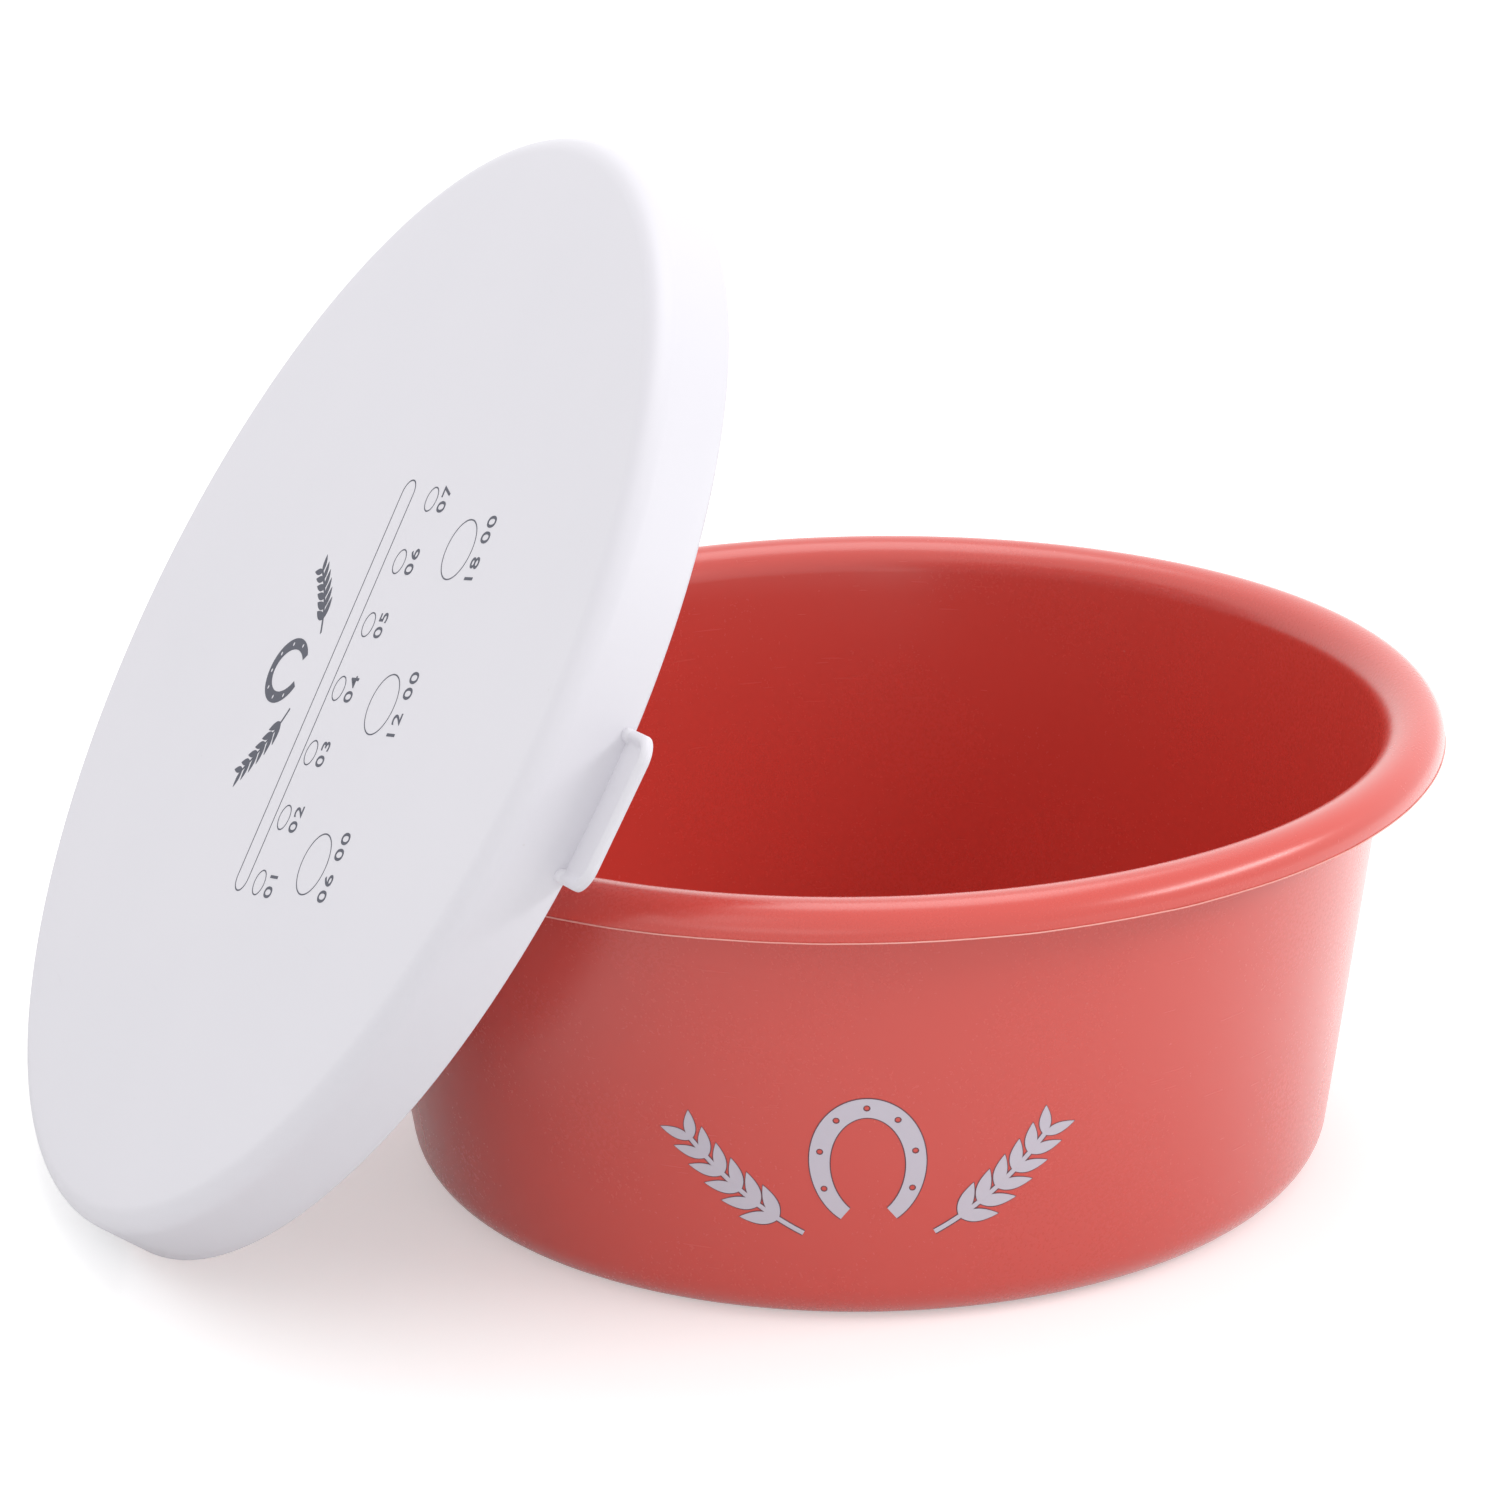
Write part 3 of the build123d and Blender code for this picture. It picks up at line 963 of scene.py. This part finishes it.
def shoeLoops(m, grow):
    # open end down; the band narrows towards the two heels
    steps = m["shoeSteps"]
    halfX, halfY = (m["shoeWidth"] / 2 - m["shoeBand"] / 2), (m["shoeHeight"] / 2 - m["shoeBand"] / 2)
    first, last = -90 + m["shoeGap"] / 2, 270 - m["shoeGap"] / 2
    outer, inner, holes = [], [], []
    for i in range(steps + 1):
        angle = radians(first + (last - first) * i / steps)
        heel = abs(2 * i / steps - 1) ** 3
        reach = m["shoeBand"] * (1 - m["heelNarrow"] * heel) / 2 + grow
        middleX = halfX * cos(angle) * (1 - m["heelInward"] * heel)
        middleY = halfY * sin(angle)
        slope = atan2(sin(angle) / m["shoeHeight"], cos(angle) / m["shoeWidth"])
        outer.append((middleX + reach * cos(slope), middleY + reach * sin(slope)))
        inner.append((middleX - reach * cos(slope), middleY - reach * sin(slope)))
    size = m["nailSize"] - grow
    for k in range(m["nails"]):
        share = (k + m["nailLead"]) / (m["nails"] + m["nailSpare"])
        angle = radians(first + (last - first) * share)
        x, y = halfX * cos(angle), halfY * sin(angle)
        turns = [radians(turn) for turn in range(0, 360, m["nailTurn"])]
        holes.append([(x + size * cos(turn), y + size * sin(turn)) for turn in turns])
    return [outer + inner[::-1]] + holes


def grainLoop(m, grow):
    # one grain: pointed at the far end, round at the near end
    half, wide, steps = m["grainLength"] / 2 + grow, m["grainWidth"] / 2 + grow, m["grainSteps"]
    upper = []
    for i in range(steps + 1):
        t = i / steps
        bulge = wide * sin(pi * t ** m["grainHeel"]) ** m["grainFull"] if 0 < i < steps else 0.0
        upper.append((half * (2 * t - 1), bulge))
    return upper + [(x, -y) for x, y in upper[-2:0:-1]]


def makeEarTree():
    # grains in pairs along a bent stem whose first part is bare, each pair leaning out from it
    tree, start, end = newMaker("oatEar", [
        ("Grain", "Geometry", None), ("Stem Start", "Vector", None), ("Stem Middle", "Vector", None),
        ("Stem End", "Vector", None), ("Pairs", "Int", 7), ("Bare Stem", "Float", 0.2),
        ("Tilt", "Float", 0.6), ("Away", "Float", 0.004), ("Stem Width", "Float", 0.001),
    ])
    given = start.outputs
    stem = bentLine(tree, given, "Stem", motifSizes["stemSteps"])
    keepHeading = tree.nodes.new("GeometryNodeCaptureAttribute")
    keepHeading.capture_items.new("VECTOR", "Heading")
    fill(keepHeading, {"Geometry": stem, "Heading": addNode(tree, "GeometryNodeInputTangent").outputs[0]})
    bare = addNode(tree, "GeometryNodeTrimCurve", {
        "Curve": keepHeading.outputs["Geometry"], "Start": given["Bare Stem"],
    })
    points = addNode(tree, "GeometryNodeCurveToPoints", {
        "Curve": bare.outputs["Curve"], "Count": given["Pairs"],
    }, mode="COUNT")
    along = addNode(tree, "FunctionNodeAlignRotationToVector", {
        "Vector": keepHeading.outputs["Heading"],
    }, axis="X", pivot_axis="Z")
    number = addNode(tree, "GeometryNodeInputIndex").outputs[0]
    size = addMath(tree, "SUBTRACT", 1.0, addMath(tree, "MULTIPLY", number, motifSizes["grainShrink"]))
    out = addNode(tree, "ShaderNodeCombineXYZ", {"X": given["Away"]})
    join = tree.nodes.new("GeometryNodeJoinGeometry")
    for side in (1.0, -1.0):
        place = addNode(tree, "GeometryNodeInstanceOnPoints", {
            "Points": points.outputs["Points"], "Instance": given["Grain"], "Rotation": along.outputs[0],
            "Scale": size,
        })
        turn = addNode(tree, "ShaderNodeCombineXYZ", {"Z": addMath(tree, "MULTIPLY", given["Tilt"], side)})
        lean = addNode(tree, "GeometryNodeRotateInstances", {
            "Instances": place.outputs[0], "Rotation": turn.outputs[0],
        })
        shift = addNode(tree, "GeometryNodeTranslateInstances", {
            "Instances": lean.outputs[0], "Translation": out.outputs[0],
        })
        fill(join, {0: shift.outputs[0]})
    stalk = sweepLine(tree, stem, given["Stem Width"], capped=True)
    flat = (1.0, 1.0, motifSizes["stemFlat"])
    level = addNode(tree, "GeometryNodeTransform", {"Geometry": stalk, "Scale": flat})
    fill(join, {0: level.outputs[0]})
    return endMaker(tree, start, end, join.outputs[0])


oatEar = makeEarTree()


def makeMotif(name, m, grow, finish):
    # horseshoe and the two ears as separate flat pieces, in the motif's own plane
    shapes = [flatShape(name + "Shoe", shoeLoops(m, grow), finish)]
    for label, side in (("Left", -1), ("Right", 1)):
        ear = flatShape(name + "Ear" + label, [grainLoop(m, grow)], finish)
        spots = [Vector((side * x, y, 0)) * mm for x, y in (m["earStart"], m["earMiddle"], m["earEnd"])]
        bakeNodes(ear, oatEar, {
            "Stem Start": spots[0], "Stem Middle": spots[1], "Stem End": spots[2], "Pairs": m["pairs"],
            "Bare Stem": m["bareStem"], "Tilt": radians(m["grainTilt"]), "Away": m["grainAway"] * mm,
            "Stem Width": (m["stem"] + 2 * grow) * mm, "Finish": materials[finish],
        })
        cleanMesh(ear.data, smooth=False, merge=inkWeldGap)
        shapes.append(ear)
    return shapes


bowlPrint = {            # mm and degrees; the print is cut into slices this wide so that it can bend
    "azimuth": -109.2, "height": 49.0, "scale": 1.0, "proud": 0.12, "outlineProud": 0.06, "slice": 2.0,
    "reach": 70,
}


def wrapOnWall(piece, proud):
    # bends a flat print round the bowl's wall
    work = bmesh.new()
    work.from_mesh(piece.data)
    step = bowlPrint["slice"] * mm
    count = int(bowlPrint["reach"] / bowlPrint["slice"])
    for k in range(-count, count + 1):
        whole = work.verts[:] + work.edges[:] + work.faces[:]
        bmesh.ops.bisect_plane(work, geom=whole, plane_co=(k * step, 0, 0), plane_no=(1, 0, 0))
    bmesh.ops.triangulate(work, faces=work.faces)
    low = min(vertex.co.z for vertex in work.verts)
    high = max(vertex.co.z for vertex in work.verts)
    middle = wallRadius(bowlPrint["height"])
    dc, ds = slopeOf(bowlSizes["draft"])
    for vertex in work.verts:
        x, y = vertex.co.x / mm * bowlPrint["scale"], vertex.co.y / mm * bowlPrint["scale"]
        out = ((vertex.co.z - low) / (high - low) - inkSunk) * proud
        z = bowlPrint["height"] + y * dc - out * ds
        radius = middle + y * ds + out * dc
        angle = radians(bowlPrint["azimuth"]) + x / middle
        vertex.co = Vector((radius * cos(angle), radius * sin(angle), z)) * mm
    bmesh.ops.recalc_face_normals(work, faces=work.faces)
    work.to_mesh(piece.data)
    work.free()
    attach(piece, "bowl")


for shape in makeMotif("wallMotif", motifSizes, 0.0, "silverInk"):
    wrapOnWall(shape, bowlPrint["proud"])
for shape in makeMotif("wallMotifLine", motifSizes, motifSizes["outline"], "deepOutline"):
    wrapOnWall(shape, bowlPrint["outlineProud"])

lidPrint = {"centre": (-8.0, 22.0), "turn": 18.5, "scale": 0.64}
shrink = Matrix.Diagonal((lidPrint["scale"], lidPrint["scale"], 1, 1))
for shape in makeMotif("lidMotif", motifSizes, 0.0, "slateInk"):
    settleInk(shape, onPlate(lidPrint["centre"], lidPrint["turn"]) @ shrink)
print("motifs printed")
